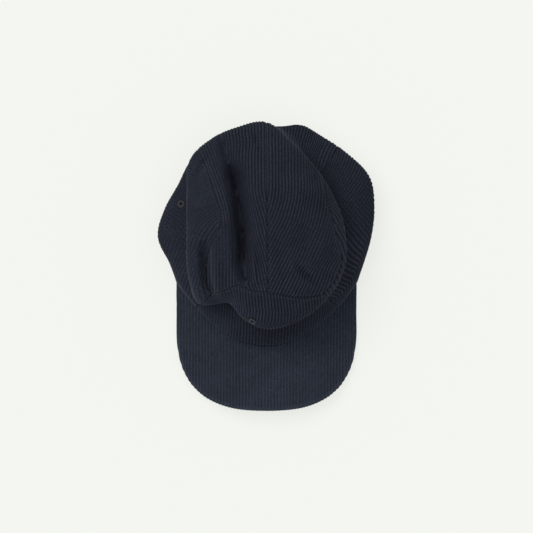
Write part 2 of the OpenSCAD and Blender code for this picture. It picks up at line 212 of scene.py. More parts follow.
def crown_normal(disc, e=0.006):
    """Outward normals of the crown, shared by every panel so that neighbours meet without a step."""
    rho = np.hypot(disc[..., 0], disc[..., 1])[..., None]
    c = disc * np.where(rho > 0.985, 0.985 / np.maximum(rho, 1e-6), 1)
    n = np.cross(crown(c + [e, 0]) - crown(c - [e, 0]), crown(c + [0, e]) - crown(c - [0, e]))
    return n / np.linalg.norm(n, axis=-1, keepdims=True)


def polar(angle, rho):
    return np.stack([rho * np.cos(np.radians(angle)), rho * np.sin(np.radians(angle))], -1)


print("height of the crown at its pole:", crown(np.array([[0.0, 0.01]]))[0, 2].round(1), "mm")

# %% [markdown]
# ## Seams and panels
# Five panels meet at three kinds of seam: the top seam behind the front panel, a seam along each side, and a centre
# seam down the back. The seams are curves on the disc, so two panels that share one always meet. Each panel is a
# four-sided grid between its seams, re-spaced by real length along the cloth. That matters for ribbed cloth: ribs
# are a fixed distance apart, so they have to be counted in millimetres of cloth and not in steps of a grid.

# %% Seam lines, as (angle, rho)
CORNER_L, CORNER_R, TEE = (227, 0.45), (315, 0.51), (271.5, 0.335)
FRONT_L, FRONT_R, BACK_L, BACK_R, ARCH_HALF, ARCH_SHARE = 225, 315, 126, 56, 27, 0.62
TOP_SEAM = [CORNER_L, TEE, CORNER_R]
LEFT_SEAM = [CORNER_L, (210, 0.425), (190, 0.385), (172, 0.32), (154, 0.305), (140, 0.355), (132, 0.44), (129, FOLD)]
RIGHT_SEAM = [CORNER_R, (338, 0.525), (368, 0.48), (392, 0.5), (404, FOLD)]
LEFT_DROP, RIGHT_DROP = [LEFT_SEAM[-1], (BACK_L, 1)], [RIGHT_SEAM[-1], (360 + BACK_R, 1)]


def lerp(a, b, t):
    return a + (b - a) * t


def arch_cut(angle):
    """How far the back panels are cut away from the rim for the strap opening."""
    share = np.abs(angle - 90) / ARCH_HALF
    return np.where(share < 1, (1 - FOLD) * ARCH_SHARE * (1 - np.minimum(share, 1) ** 2), 0)


def wall_grid(low_a, low_b, seam, s, t, back=False):
    """A panel that stands between the rim and a seam above it."""
    high = along(seam, 1 - s if back else s)
    return polar(lerp(lerp(low_a, low_b, s), high[..., 0], t), lerp(1, high[..., 1], t))


def back_grid(seam, drop, mirror, s, t):
    """A back panel: over the top from the top seam to the fold, then down to the hem. s runs to the centre seam."""
    middle, half = (450, 1) if mirror else (90, 0)
    tee, fold_mid = polar(*map(np.asarray, TEE)), np.array([0, FOLD])
    u, v = np.clip(2 * t, 0, 1)[..., None], np.clip(2 * t - 1, 0, 1)
    s1 = s[..., None]
    side = along(seam, u[..., 0])
    side = polar(side[..., 0], side[..., 1])
    top = along(TOP_SEAM, half - s * 0.5 if mirror else s * 0.5)
    corner, finish = np.asarray(seam[0], float), np.asarray(seam[-1], float)
    chord = lerp(side, lerp(tee, fold_mid, u), s1)
    high = polar(top[..., 0], top[..., 1]) - lerp(polar(*corner), tee, s1)
    low = polar(lerp(finish[0], middle, s), FOLD) - lerp(polar(*finish), fold_mid, s1)
    upper = chord + (1 - u) * high + u * low
    down = along(drop, v)
    hem = np.mod(lerp(drop[1][0], middle, s), 360)
    lower = polar(lerp(down[..., 0], middle, s), lerp(FOLD, 1 - arch_cut(hem), v))
    return np.where(t[..., None] <= 0.5, upper, lower)


PANELS = {
    "front_panel": lambda s, t: wall_grid(FRONT_L, FRONT_R, TOP_SEAM, s, t),
    "side_panel_left": lambda s, t: wall_grid(BACK_L, FRONT_L, LEFT_SEAM, s, t, True),
    "side_panel_right": lambda s, t: wall_grid(FRONT_R, 360 + BACK_R, RIGHT_SEAM, s, t),
    "back_panel_left": lambda s, t: back_grid(LEFT_SEAM, LEFT_DROP, False, s, t),
    "back_panel_right": lambda s, t: back_grid(RIGHT_SEAM, RIGHT_DROP, True, s, t),
}


def even(disc, axis, count, close=0.0):
    """Re-spaces a grid of disc points along one axis, by length along the cloth, closer together near its ends."""
    share = np.linspace(0, 1, count)
    share = share - close * np.sin(2 * np.pi * share) / (2 * np.pi)
    disc = np.moveaxis(disc, axis, 0)
    step = np.linalg.norm(np.diff(crown(disc), axis=0), axis=-1)
    far = np.vstack([np.zeros(step.shape[1]), np.cumsum(step, 0)])
    out = np.empty((count, disc.shape[1], 2))
    for j in range(disc.shape[1]):
        want = far[-1, j] * share
        for k in range(2):
            out[:, j, k] = np.interp(want, far[:, j], disc[:, j, k])
    return np.moveaxis(out, 0, axis)


def panel_disc(name, across, up):
    """The disc points of a panel's grid: s first, then t."""
    s, t = np.meshgrid(np.linspace(0, 1, 161), np.linspace(0, 1, 161), indexing="ij")
    return even(even(PANELS[name](s, t), 1, up, 0.68), 0, across)


for name in PANELS:
    flat = crown(panel_disc(name, 60, 60))
    wide = np.linalg.norm(np.diff(flat, axis=0), axis=-1).sum(0)
    tall = np.linalg.norm(np.diff(flat, axis=1), axis=-1).sum(1)
    print(f"{name}: {wide.min():.0f} to {wide.max():.0f} mm across, {tall.min():.0f} to {tall.max():.0f} mm up")

# %% [markdown]
# ## Ribs
# Corduroy is woven with rows of cut pile. Eight-wale cloth has eight rows to the inch, so a rib every 3.175 mm: a
# soft round ridge about 2.4 mm wide and not quite 1 mm high, with a narrow groove down to the ground weave. A bump
# map would look right from above and vanish at the silhouette, so the ribs are real: each panel's grid has about
# nine points across a rib, and each point is pushed out by the rib's profile. The ribs wander a little, and their
# height varies, because the pile is brushed.

# %% The rib profile
PITCH, RIB_HIGH, CLOTH, RIB_BLUNT = 3.175, 0.85, 1.8, 0.55


def wander(x, y, scale, seed):
    """Smooth noise from a few sine waves, between about -1 and 1."""
    turns = np.random.default_rng(seed).uniform(0, 2 * np.pi, (5, 3))
    total = np.zeros_like(np.asarray(x, float))
    for k, (a, b, c) in enumerate(turns):
        size = scale / (1 + 0.45 * k)
        total += np.sin((x * np.cos(a) + y * np.sin(a)) * 2 * np.pi / size + b) * np.cos(y / size + c)
    return total / 3


def rib_profile(w):
    """How high a point is on its rib, 0 to 1, where w is the distance across the ribs in mm."""
    return (0.5 + 0.5 * np.cos(2 * np.pi * w / PITCH)) ** RIB_BLUNT


def ribs(w, x, y, seed):
    """Height of the ribs where w is the distance across them, in mm."""
    w = w + 0.16 * wander(x, y, 37, seed) + 0.07 * wander(x, y, 9, seed + 1)
    ridge = rib_profile(w)
    return RIB_HIGH * ridge * (1 + 0.1 * wander(x, y, 14, seed + 2) + 0.06 * wander(x, y, 4.5, seed + 3)), ridge


print("ribs per 100 mm:", round(100 / PITCH, 1))

# %% [markdown]
# ## A panel as a closed piece of cloth
# The outer face carries the ribs, and the inner face is the plain back of the cloth on a grid a quarter as fine. A
# strip of triangles joins the two all round, so the piece is closed. Two numbers are kept on every point for the
# material: how high it is on its rib, which sets the painted shade in the grooves, and how sharply the cloth bends
# there, because pile rubs bare on a ridge.

# %% Closed sheets
def strip(fine, coarse, flip):
    """Triangles between a fine row of points and a coarse one."""
    k, faces = (len(fine) - 1) // (len(coarse) - 1), []
    for i in range(len(coarse) - 1):
        a, b, mid = coarse[i], coarse[i + 1], i * k + k // 2
        faces += [(a, fine[j], fine[j + 1]) for j in range(i * k, mid)]
        faces += [(a, fine[mid], b)]
        faces += [(b, fine[j], fine[j + 1]) for j in range(mid, (i + 1) * k)]
    return [f[::-1] for f in faces] if flip else faces


def closed_sheet(outer, inner):
    """Points and faces of a sheet between an outer grid and an inner one whose steps are a whole number as long."""
    (m, n), (p, q) = outer.shape[:2], inner.shape[:2]
    o, i = np.arange(m * n).reshape(m, n), np.arange(p * q).reshape(p, q) + m * n
    quads = lambda g: np.stack([g[:-1, :-1], g[1:, :-1], g[1:, 1:], g[:-1, 1:]], -1).reshape(-1, 4)
    faces = quads(o).tolist() + quads(i)[:, ::-1].tolist()
    for fine, coarse, flip in [(o[:, 0], i[:, 0], False), (o[:, -1], i[:, -1], True),
                               (o[0], i[0], True), (o[-1], i[-1], False)]:
        faces += strip(fine, coarse, flip)
    return np.concatenate([outer.reshape(-1, 3), inner.reshape(-1, 3)]), faces


def make_piece(name, points, faces, material, marks=None):
    """An object in metres from points in mm, smooth shaded, with its material and marks; its faces keep the turn they
    are given.
    """
    mesh = bpy.data.meshes.new(name)
    mesh.from_pydata((np.asarray(points) * MM).tolist(), [], faces)
    mesh.validate()
    mesh.shade_smooth()
    for label, values in (marks or {}).items():
        mesh.attributes.new(label, "FLOAT", "POINT").data.foreach_set("value", np.asarray(values, np.float32))
    piece = bpy.data.objects.new(name, mesh)
    bpy.context.scene.collection.objects.link(piece)
    piece.data.materials.append(material)
    return piece


def volume(piece):
    v = np.empty(len(piece.data.vertices) * 3)
    piece.data.vertices.foreach_get("co", v)
    piece.data.calc_loop_triangles()
    f = np.empty(len(piece.data.loop_triangles) * 3, int)
    piece.data.loop_triangles.foreach_get("vertices", f)
    a, b, c = v.reshape(-1, 3)[f.reshape(-1, 3)].transpose(1, 0, 2)
    return (a * np.cross(b, c)).sum() / 6


print("ready to make sheets")

# %% [markdown]
# ## Materials
# Pile cloth this dark is hard to shade: its colour is nearly black, yet its rims glow, because light catches the
# standing fibres edge on. The Principled shader's sheen does that. The colour itself comes from a shared group that
# paints shade into the grooves, lightens worn ridges and breaks up the colour in patches and in fine fibre noise.

# %% Helpers for node trees
def group(name, inputs, outputs):
    tree = bpy.data.node_groups.new(name, "ShaderNodeTree")
    for label, kind, value in inputs:
        socket = tree.interface.new_socket(label, in_out="INPUT", socket_type=kind)
        socket.default_value = value
    for label, kind in outputs:
        tree.interface.new_socket(label, in_out="OUTPUT", socket_type=kind)
    return tree, tree.nodes.new("NodeGroupInput"), tree.nodes.new("NodeGroupOutput")


def node(tree, kind, inputs=None, **settings):
    made = tree.nodes.new(kind)
    for key, value in settings.items():
        setattr(made, key, value)
    for key, value in (inputs or {}).items():
        if isinstance(value, bpy.types.NodeSocket):
            tree.links.new(value, made.inputs[key])
        else:
            made.inputs[key].default_value = value
    return made


def maths(tree, what, *values, clamp=False):
    return node(tree, "ShaderNodeMath", dict(enumerate(values)), operation=what, use_clamp=clamp).outputs[0]


def multiply(tree, a, b, clamp=False):
    return maths(tree, "MULTIPLY", a, b, clamp=clamp)


def mix(tree, share, a, b, how="MIX"):
    made = node(tree, "ShaderNodeMix", {0: share, 6: a, 7: b}, data_type="RGBA", blend_type=how)
    return made.outputs[2]


def tinted(tree, color, value):
    """A colour made lighter or darker by one value."""
    grey = node(tree, "ShaderNodeCombineColor", {0: value, 1: value, 2: value})
    return mix(tree, 1.0, color, grey.outputs[0], "MULTIPLY")


def close_group(tree, gout, color, roughness, height):
    for label, value in (("Color", color), ("Roughness", roughness), ("Height", height)):
        tree.links.new(value, gout.inputs[label])
    print(tree.name, "has", len(tree.nodes), "nodes")


def noise(tree, at, scale, detail=3.0, rough=0.6, stretch=None):
    if stretch:
        at = node(tree, "ShaderNodeMapping", {"Vector": at, "Scale": stretch}).outputs[0]
    return node(tree, "ShaderNodeTexNoise", {"Vector": at, "Scale": scale, "Detail": detail, "Roughness": rough}).outputs[0]


WHITE, BLACK = (1, 1, 1, 1), (0, 0, 0, 1)
CLOTH_OUTPUTS = [("Color", "NodeSocketColor"), ("Roughness", "NodeSocketFloat"), ("Height", "NodeSocketFloat")]
print("helpers made")

# %% The pile group
# Colour, roughness and fine height of a pile cloth, from its rib height and wear; low on a rib the colour is darkened
# as painted shade in the grooves
pile, gin, gout = group("PileCloth",
    [("Painted Groove Shade", "NodeSocketColor", WHITE), ("Light", "NodeSocketColor", WHITE), ("Worn", "NodeSocketColor", WHITE),
     ("Rib", "NodeSocketFloat", 1.0), ("Wear", "NodeSocketFloat", 0.0), ("Fibre", "NodeSocketFloat", 700.0)],
    CLOTH_OUTPUTS)
at = node(pile, "ShaderNodeTexCoord").outputs["Object"]
patch, fibre = noise(pile, at, 26.0, 4.0), noise(pile, at, gin.outputs["Fibre"], 2.0, 0.7)
streak = noise(pile, at, 160.0, 3.0)
height = maths(pile, "POWER", gin.outputs["Rib"], 1.3)
# painted shade: the grooves take the darker groove colour and the rib tops the lighter one, by rib height
shade = mix(pile, height, gin.outputs["Painted Groove Shade"], gin.outputs["Light"])
shade = tinted(pile, shade, maths(pile, "MULTIPLY_ADD", patch, 0.9, 0.55))
shade = tinted(pile, shade, maths(pile, "MULTIPLY_ADD", fibre, 2.4, -0.2))
rubbed = multiply(pile, multiply(pile, gin.outputs["Wear"], height), multiply(pile, streak, 1.6), clamp=True)
shade = mix(pile, rubbed, shade, gin.outputs["Worn"])
close_group(pile, gout, shade, maths(pile, "MULTIPLY_ADD", fibre, 0.2, 0.78),
            maths(pile, "ADD", multiply(pile, fibre, 0.7), multiply(pile, streak, 0.3)))

# %% The twill group
# A diagonal weave for tapes and the sweatband, from two crossed waves along Object coordinates
twill, gin, gout = group("TwillWeave",
    [("Color", "NodeSocketColor", WHITE), ("Yarn", "NodeSocketFloat", 1300.0), ("Fade", "NodeSocketFloat", 0.3)],
    CLOTH_OUTPUTS)
at = node(twill, "ShaderNodeTexCoord").outputs["Object"]
slant = node(twill, "ShaderNodeMapping", {"Vector": at, "Rotation": (0.6, 0.5, 0.8)}).outputs[0]
yarn = gin.outputs["Yarn"]
rows = node(twill, "ShaderNodeTexWave", {"Vector": slant, "Scale": yarn, "Distortion": 0.6, "Detail": 1.0})
cross = node(twill, "ShaderNodeTexWave", {"Vector": at, "Scale": yarn, "Distortion": 0.3}, bands_direction="Z")
weave = multiply(twill, rows.outputs["Fac"], maths(twill, "MULTIPLY_ADD", cross.outputs["Fac"], 0.5, 0.5))
blotch, plain = noise(twill, at, 40.0), gin.outputs["Color"]
shade = mix(twill, multiply(twill, weave, 0.7), mix(twill, 0.45, plain, BLACK), plain)
shade = mix(twill, multiply(twill, blotch, gin.outputs["Fade"]), shade, mix(twill, 0.25, plain, WHITE))
close_group(twill, gout, shade, maths(twill, "SUBTRACT", 0.95, multiply(twill, weave, 0.15)), weave)


# %% Cloth and metal materials
def new_material(name, roughness=0.8):
    made = bpy.data.materials.new(name)
    made.use_nodes = True
    shader = made.node_tree.nodes["Principled BSDF"]
    shader.inputs["Roughness"].default_value = roughness
    return made, made.node_tree, shader


def place(tree, inner, **values):
    return node(tree, "ShaderNodeGroup", values, node_tree=inner)


def wire(tree, shader, source, depth, strength=0.6):
    tree.links.new(source.outputs["Color"], shader.inputs["Base Color"])
    tree.links.new(source.outputs["Roughness"], shader.inputs["Roughness"])
    bump = node(tree, "ShaderNodeBump", {"Strength": strength, "Distance": depth, "Height": source.outputs["Height"]})
    tree.links.new(bump.outputs[0], shader.inputs["Normal"])


def pile_material(name, dark, light, worn, sheen, ribbed=True):
    made, tree, shader = new_material(name)
    shader.inputs["Specular IOR Level"].default_value = 0.12
    shader.inputs["Sheen Weight"].default_value = sheen
    shader.inputs["Sheen Roughness"].default_value = 0.38
    shader.inputs["Sheen Tint"].default_value = (0.62, 0.72, 0.95, 1)
    values = {"Painted Groove Shade": dark, "Light": light, "Worn": worn, "Rib": 0.5, "Wear": 0.0}
    if ribbed:
        values["Rib"] = node(tree, "ShaderNodeAttribute", attribute_name="rib").outputs["Fac"]
        values["Wear"] = node(tree, "ShaderNodeAttribute", attribute_name="wear").outputs["Fac"]
    wire(tree, shader, place(tree, pile, **values), 0.00025)
    return made


def twill_material(name, color, fade=0.3, yarn=1300.0):
    made, tree, shader = new_material(name)
    shader.inputs["Specular IOR Level"].default_value = 0.2
    shader.inputs["Sheen Weight"].default_value = 0.15
    wire(tree, shader, place(tree, twill, Color=color, Fade=fade, Yarn=yarn), 0.0002)
    return made


# The same cloth gets two copies: a darker one on the crown, painted shade, and a lighter one on the bill, painted
# light, both standing in for how the nap catches the light
# Each cloth's first colour is painted shade in the rib grooves, its second the rib tops and its third rubbed pile
NAVY_PAINTED_GROOVE_SHADE, CROWN_NAVY_PAINTED_DARKER, NAVY_WORN = (0.0036, 0.0046, 0.0075, 1), (0.0178, 0.0212, 0.0315, 1), (0.027, 0.0325, 0.046, 1)
BILL_PAINTED_GROOVE_SHADE, BILL_NAVY_PAINTED_LIGHTER = (0.0062, 0.0078, 0.0122, 1), (0.0208, 0.0262, 0.0388, 1)
corduroy = pile_material("corduroy", NAVY_PAINTED_GROOVE_SHADE, CROWN_NAVY_PAINTED_DARKER, NAVY_WORN, 0.11)
bill_corduroy_painted_lighter = pile_material("bill_corduroy_painted_lighter", BILL_PAINTED_GROOVE_SHADE, BILL_NAVY_PAINTED_LIGHTER, (0.034, 0.041, 0.057, 1), 0.14)
cloth_back = twill_material("cloth_back", (0.016, 0.02, 0.03, 1))
thread = twill_material("thread", (0.013, 0.0155, 0.023, 1), 0.2, 2600.0)
eyelet_thread = twill_material("eyelet_thread", (0.03, 0.036, 0.05, 1), 0.2, 2600.0)
band_twill = twill_material("band_twill", (0.02, 0.025, 0.036, 1))
tape_twill = twill_material("tape_twill", (0.03, 0.036, 0.05, 1))
label_satin = twill_material("label_satin", (0.55, 0.53, 0.47, 1), 0.2, 2200.0)
print("materials so far:", [made.name for made in bpy.data.materials])

# %% Brushed metal
# A lacquered metal's colour and gloss: fine scratches along one direction, and a little dull tarnish in patches
metal, gin, gout = group("BrushedMetal",
    [("Clean", "NodeSocketColor", WHITE), ("Tarnish", "NodeSocketColor", WHITE), ("Scratch", "NodeSocketFloat", 700.0)],
    CLOTH_OUTPUTS)
at = node(metal, "ShaderNodeTexCoord").outputs["Object"]
scratch = noise(metal, at, gin.outputs["Scratch"], 2.0, 0.7, stretch=(1.0, 1.0, 0.06))
dull = noise(metal, at, 240.0, 4.0)
shade = mix(metal, maths(metal, "POWER", dull, 2.2), gin.outputs["Clean"], gin.outputs["Tarnish"])
close_group(metal, gout, shade, maths(metal, "MULTIPLY_ADD", maths(metal, "ADD", scratch, dull), 0.16, 0.17), scratch)
brass, tree, shader = new_material("antique_brass", 0.3)
shader.inputs["Metallic"].default_value = 1.0
wire(tree, shader, place(tree, metal, Clean=(0.62, 0.43, 0.17, 1), Tarnish=(0.25, 0.16, 0.07, 1)), 0.00004, 0.3)
board_plastic, tree, shader = new_material("board_plastic", 0.5)
grain = place(tree, metal, Clean=(0.78, 0.75, 0.68, 1), Tarnish=(0.68, 0.65, 0.58, 1), Scratch=420.0)
tree.links.new(grain.outputs["Color"], shader.inputs["Base Color"])
bump = node(tree, "ShaderNodeBump", {"Strength": 0.25, "Distance": 0.00005, "Height": grain.outputs["Height"]})
tree.links.new(bump.outputs[0], shader.inputs["Normal"])
print("metal and plastic made")

# %% [markdown]
# ## The five crown panels
# At a seam the cloth is pulled down into the stitching and puffs up on both sides of it, so the ribs fade out in the
# last millimetre and the surface dips. The side panels are cut on the slant, so their ribs lean as they climb. On
# the back panels the ribs follow the centre seam at the back of the crown and swing towards it at the front, so the
# two panels make a V: straight lines, an arc around a far centre, and straight lines again.

# %% Where the ribs run
SWING_FROM, SWING_RADIUS, SWING_AT = 82.0, 110.0, 42.0
SLANT = {"side_panel_left": 0.8, "side_panel_right": -0.85, "front_panel": 0.0}


def fading(v):
    """A smooth step down from 1 to 0 around v = 0."""
    return 1 / (1 + np.exp(np.clip(v, -30, 30)))


def run_along(points, axis):
    """Distance along the cloth from the first line of the grid, in mm."""
    step = np.linalg.norm(np.diff(points, axis=axis), axis=-1)
    pad = np.zeros_like(np.take(step, [0], axis))
    return np.concatenate([pad, np.cumsum(step, axis)], axis)


def swing(u, y, most):
    """Distance across ribs that run straight behind SWING_FROM and turn by up to `most` degrees in front of it."""
    qx, qy, most = u + SWING_RADIUS - SWING_AT, SWING_FROM - y, math.radians(most)
    turned = np.arctan2(qy, qx)
    slanted = qx * math.cos(most) + qy * math.sin(most) - SWING_RADIUS
    return np.where(turned <= 0, u - SWING_AT, np.where(turned < most, np.hypot(qx, qy) - SWING_RADIUS, slanted))


def across_ribs(name, points):
    """Distance across the ribs, from the rib that the panel's pattern is laid on."""
    if name in SLANT:
        far, k = run_along(points, 0), SLANT[name]
        return (far - far[far.shape[0] // 2][None, :] + k * run_along(points, 1)) / math.hypot(1, k)
    step = np.diff(points, axis=0)
    width = np.hypot(step[..., 0], step[..., 2])
    from_side = np.concatenate([np.zeros((1, width.shape[1])), np.cumsum(width, 0)], 0)
    w = swing(from_side[-1] - from_side, points[..., 1], 16 if name.endswith("left") else 27)
    if name.endswith("left"):
        # left of the deep fold the ribs run back to front on their own, and the fold's dark wall hides the change
        x, y = points[..., 0], points[..., 1]
        fold_x = np.interp(y, [-16, 34, 66, 98, 122, 145], [-22, -26, -30, -37, -43, -52])
        own = fading((x - fold_x + 2) / 1.2)
        w = lerp(w, x + 3.0 * np.log1p(np.exp((y - 52) / 8)), own)
    return w


print("swing of the left panel's ribs from 100 mm back to 0 mm:", swing(np.array([30.0]), np.array([0.0]), 16).round(1))

# %% Seams, wear and eyelets in the cloth
EYELETS = {"eyelet_front_left": (260.6, 0.53), "eyelet_front_right": (280, 0.66),
           "eyelet_side_left": (159.2, 0.772), "eyelet_side_right": (12, 0.64)}
EYELET_AT = {name: (crown(polar(*at)[None])[0], crown_normal(polar(*at)[None])[0]) for name, at in EYELETS.items()}


def edge_gap(points):
    """Distance from each point to the nearest edge of its panel."""
    gaps = []
    for axis in (0, 1):
        far = run_along(points, axis)
        gaps += [far, np.take(far, [-1], axis) - far]
    return np.minimum.reduce(gaps)


def bending(points, normals):
    """How sharply the cloth is folded outwards, 0 to 1, for wear."""
    total = np.zeros(points.shape[:2])
    for axis in (0, 1):
        dp, dn = np.gradient(points, axis=axis), np.gradient(normals, axis=axis)
        total = np.maximum(total, (dp * dn).sum(-1) / np.maximum((dp**2).sum(-1), 1e-9))
    return 0.6 * np.clip((total - 0.06) / 0.5, 0, 1)


def seam_dip(gap):
    return -0.65 * np.exp(-(gap / 1.0) ** 2) + 0.18 * np.exp(-((gap - 3.4) / 1.7) ** 2)


def rib_fade(base, normal, gap):
    """How much of a rib is left: less in a seam, under its stitches, on the deep fold's wall and at an eyelet."""
    wall = np.clip((0.42 - np.abs(normal[..., 2])) / 0.3, 0, 1) * (base[..., 2] > 42) * (np.abs(base[..., 0] + 28) < 14)
    fade = (1 - 0.75 * np.exp(-(gap / 0.9) ** 2)) * (1 - 0.8 * wall) * (1 - 0.45 * np.exp(-((gap - 2.8) / 0.5) ** 2))
    for middle, _ in EYELET_AT.values():
        fade = fade * np.clip((np.linalg.norm(base - middle, axis=-1) - 3.2) / 1.6, 0, 1)
    return fade


def eyelet_hole(base):
    """The cloth goes down into an eyelet's hole."""
    return sum(-1.25 * np.exp(-(np.linalg.norm(base - middle, axis=-1) / 1.6) ** 4) for middle, _ in EYELET_AT.values())


print("eyelets at, in mm:", {name: at.round(0).tolist() for name, (at, _) in EYELET_AT.items()})


# %% Make the panels
GROOVE_DEPTH, HEM_HEIGHT, COARSER = 0.45, 0.02, 4  # how far grooves sink, the hem's lowest height, inner grid's step


def brushed(base):
    """How flat the pile is brushed: the left of the crown has been stroked and its ribs are soft."""
    x, y, z = np.moveaxis(base, -1, 0)
    left = fading((x + 36) / 4)
    return 1 - (0.36 * left + 0.1) * (0.75 + 0.25 * wander(x, y, 60, 91))


def marks_for(ridge, wear, inner):
    """The two numbers on each point, for an outer grid that carries them and a plain inner one."""
    pad = np.zeros(inner.shape[0] * inner.shape[1])
    return {"rib": np.concatenate([ridge.ravel(), pad + 0.3]), "wear": np.concatenate([wear.ravel(), pad])}


def ribbed_piece(name, base, normal, w, gap, seed, extra):
    """A closed ribbed sheet from a grid of points, its normals, and the distance across the ribs."""
    rib, ridge = ribs(w, base[..., 0] + base[..., 2], base[..., 1], seed)
    soft = brushed(base)
    outer = base + normal * (rib * soft * rib_fade(base, normal, gap) + extra - GROOVE_DEPTH * soft)[..., None]
    # softer ribs also get less of the painted groove shade
    ridge = 1 - (1 - ridge) * soft
    inner = (base - normal * CLOTH)[::COARSER, ::COARSER]
    turned = np.cross(np.gradient(base, axis=0), np.gradient(base, axis=1))
    if np.median((turned * normal).sum(-1)) < 0:
        outer, inner, ridge, base, normal = (a[:, ::-1] for a in (outer, inner, ridge, base, normal))
    points, faces = closed_sheet(outer, inner)
    points[:, 2] = np.maximum(points[:, 2], HEM_HEIGHT)
    return make_piece(name, points, faces, corduroy, marks_for(ridge, bending(base, normal), inner))


def make_panel(name, across, up, seed):
    across, up = (COARSER * round(count / COARSER) + 1 for count in (across, up))
    disc = panel_disc(name, across, up)
    base, normal = crown(disc), crown_normal(disc)
    gap = edge_gap(base)
    shape = seam_dip(gap)
    if name in SLANT:
        # the front hem isn't pulled in: it bulges against the bill's edge
        hem = run_along(base, 1)
        low = np.exp(-(hem / 2.4) ** 2) * np.clip((BILL_ENDS_Y - base[..., 1]) / 6, 0, 1)
        shape = lerp(shape, 1.05, low)
    piece = ribbed_piece("cloth_" + name, base, normal, across_ribs(name, base), gap, seed, shape + eyelet_hole(base))
    print(f"{piece.name}: {len(piece.data.polygons)} faces, {volume(piece) * 1e9:.0f} mm3")
    return piece, base, normal


SIZES = {"front_panel": (460, 84), "side_panel_left": (540, 88), "side_panel_right": (560, 88),
         "back_panel_left": (340, 160), "back_panel_right": (300, 164)}
made_panels = {name: make_panel(name, *SIZES[name], 11 * (i + 1)) for i, name in enumerate(PANELS)}

# %% [markdown]
# ## The panels and their bodies
# The bill is stiff and its seam is soft: when the bill is turned up, the cloth just above the seam goes with it and
# the rest of the crown stays. Here the back panels are tied to the crown's body, while the front and side panels, and
# the stitches later sewn along them, are only fixed where they stand and tied to no body. HEM_START and HEM_END give a
# line that runs down and forwards, but nothing reads it. Each panel's cut size and its area of cloth are printed.

HEM_START, HEM_END = (0, 0, 0), (0, -0.0096, -0.0128)
FLAT = {"front_panel": (0.165, 0.105), "side_panel_left": (0.175, 0.125), "side_panel_right": (0.18, 0.125),
        "back_panel_left": (0.12, 0.215), "back_panel_right": (0.1, 0.225)}


def with_bill(piece):
    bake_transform(piece)
    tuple(HEM_START)
    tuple(HEM_END)


for name, (piece, base, _) in made_panels.items():
    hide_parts(name)
    if name.startswith("back"):
        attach(piece, "crown")
    else:
        with_bill(piece)
    wide, tall = FLAT[name]
    du, dv = np.diff(base, axis=0)[:, :-1], np.diff(base, axis=1)[:-1]
    flat_area = float(np.linalg.norm(np.cross(du, dv), axis=-1).sum() * MM**2)
    print(f"{name}: cut about {wide*1000:.0f} x {tall*1000:.0f} mm, {flat_area*1e6:.0f} mm2 of cloth,",
          f"{flat_area / wide / tall:.2f} of that rectangle")

# %% [markdown]
# ## The bill
# The bill is a plastic board between two ribbed covers, bent about one fore-and-aft axis, so its height depends
# only on how far to the side a point is. The covers are sewn together inside out and turned, so each one rolls
# over the board's edge and they meet in a fine groove halfway down. Their ribs run straight forward, and where they
# roll over the edge they give the bill its finely notched outline. A grid that is closer together towards the sides
# follows the rounded front corners.

# %% The bill's shape
BILL_HALF, BILL_REACH, BILL_STRAIGHT, BILL_ROUND, JOIN, ROLL = 90.5, 130.0, 45.5, 2.6, 0.45, 2.2
ROLL_ROWS, ARC_STRETCH = 6, 2.49e-6  # rows over the edge; extra arc length of the bent bill, per cubed mm


def seam_y(x):
    return BILL_ENDS_Y - RIM_BOW * (1 - (x / RIM_HALF) ** 2)


def edge_y(x, inset):
    curve = np.maximum(0, 1 - (np.abs(x) / (BILL_HALF - inset)) ** BILL_ROUND) ** (1 / BILL_ROUND)
    return BILL_ENDS_Y - BILL_STRAIGHT - (BILL_REACH - BILL_STRAIGHT - inset) * curve


def bill_grid(side, across=801, flat_rows=23, roll_rows=ROLL_ROWS):
    """Outer points and normals of one cover: side 1 is the top, -1 the underside. Rows run from the seam forwards."""
    x, grid, normals = BILL_HALF * np.sin(np.pi / 2 * np.linspace(-1, 1, across)), [], []
    for k in range(flat_rows + roll_rows):
        v, turn = min(k / (flat_rows - 1), 1), math.radians(90 * max(0, k - flat_rows + 1) / roll_rows)
        inset = ROLL * (1 - math.sin(turn))
        near = seam_y(x) - JOIN
        y = lerp(near, np.minimum(edge_y(x, inset), near - 4), v) - 0.01 * max(0, k - flat_rows + 1)
        deep = np.clip(np.minimum(inset, BILL_HALF - np.abs(x)) / ROLL, 0, 1)
        lift = 0.06 + (ROLL - 0.06) * np.sqrt(1 - (1 - deep) ** 2)
        a, b = np.abs(x) / BILL_HALF, np.clip((BILL_ENDS_Y - BILL_STRAIGHT - y) / (BILL_REACH - BILL_STRAIGHT), 0, 1)
        out = np.stack([np.sign(x) * a**1.6 / BILL_HALF + 1e-9, -(b**1.6) / (BILL_REACH - BILL_STRAIGHT)], -1)
        out /= np.linalg.norm(out, axis=-1, keepdims=True)
        slope = 2 * BILL_ARCH * x / RIM_HALF**2
        up = np.stack([slope, 0 * x, 1 + 0 * x], -1) / np.sqrt(1 + slope**2)[:, None] * side
        tip = (1 - deep)[:, None]
        normals.append(up * np.sqrt(1 - tip**2) + np.concatenate([out, 0 * tip], -1) * tip)
        grid.append(np.stack([x, y, BILL_ARCH * (1 - (x / RIM_HALF) ** 2) + 2.8 + side * lift], -1))
    return np.stack(grid, 1), np.stack(normals, 1)


print("front of the bill at y =", edge_y(np.array([0.0]), 0).round(1)[0], "mm")

